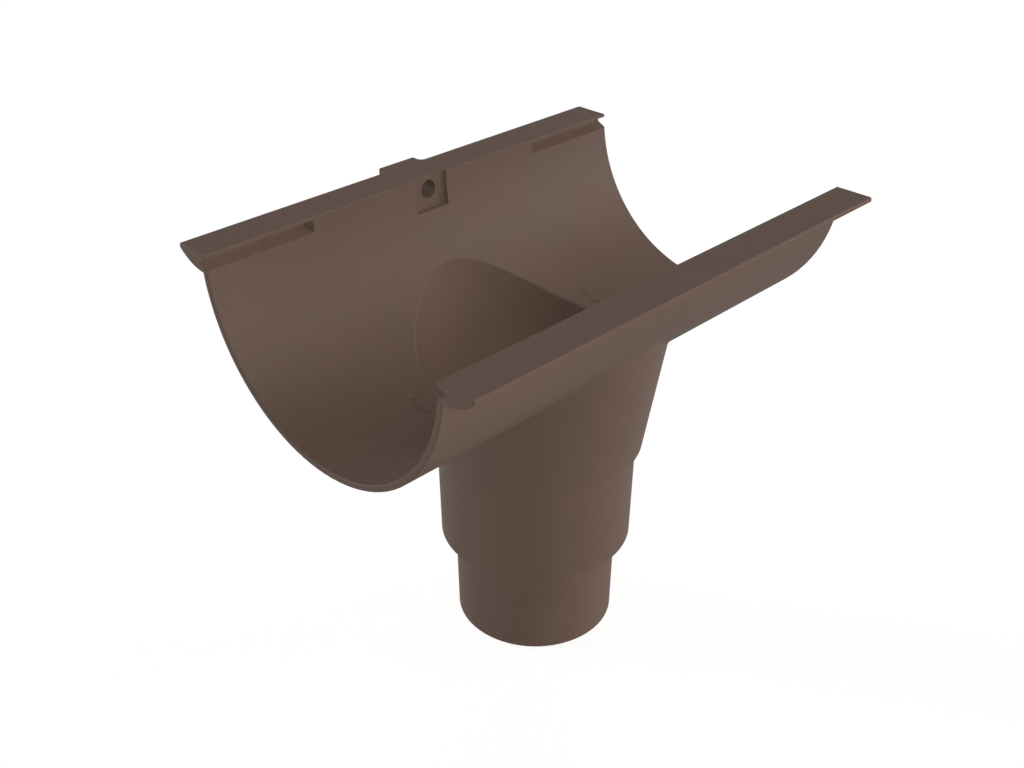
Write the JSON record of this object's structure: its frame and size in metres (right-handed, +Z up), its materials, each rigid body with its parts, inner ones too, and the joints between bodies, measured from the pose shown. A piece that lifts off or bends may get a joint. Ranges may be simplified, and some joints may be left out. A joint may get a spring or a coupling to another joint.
{
  "type": "gutter outlet",
  "caption": "Half-round gutter outlet with flat rims, a tapering funnel that steps down to two pipe spigots, and a screw boss at one rim.",
  "frame": {"origin": "centre of the lower spigot's end, on the surface that the outlet stands on", "axes": "+Z up along the down pipe's axis, X along the gutter, +Y towards the screw boss"},
  "size_m": [0.229, 0.1707, 0.196],
  "materials": {
    "outlet_plastic": "fine matte brown moulded PVC"
  },
  "bodies": {
    "root": {"gutter_outlet": "outlet_plastic"}
  },
  "joints": []
}
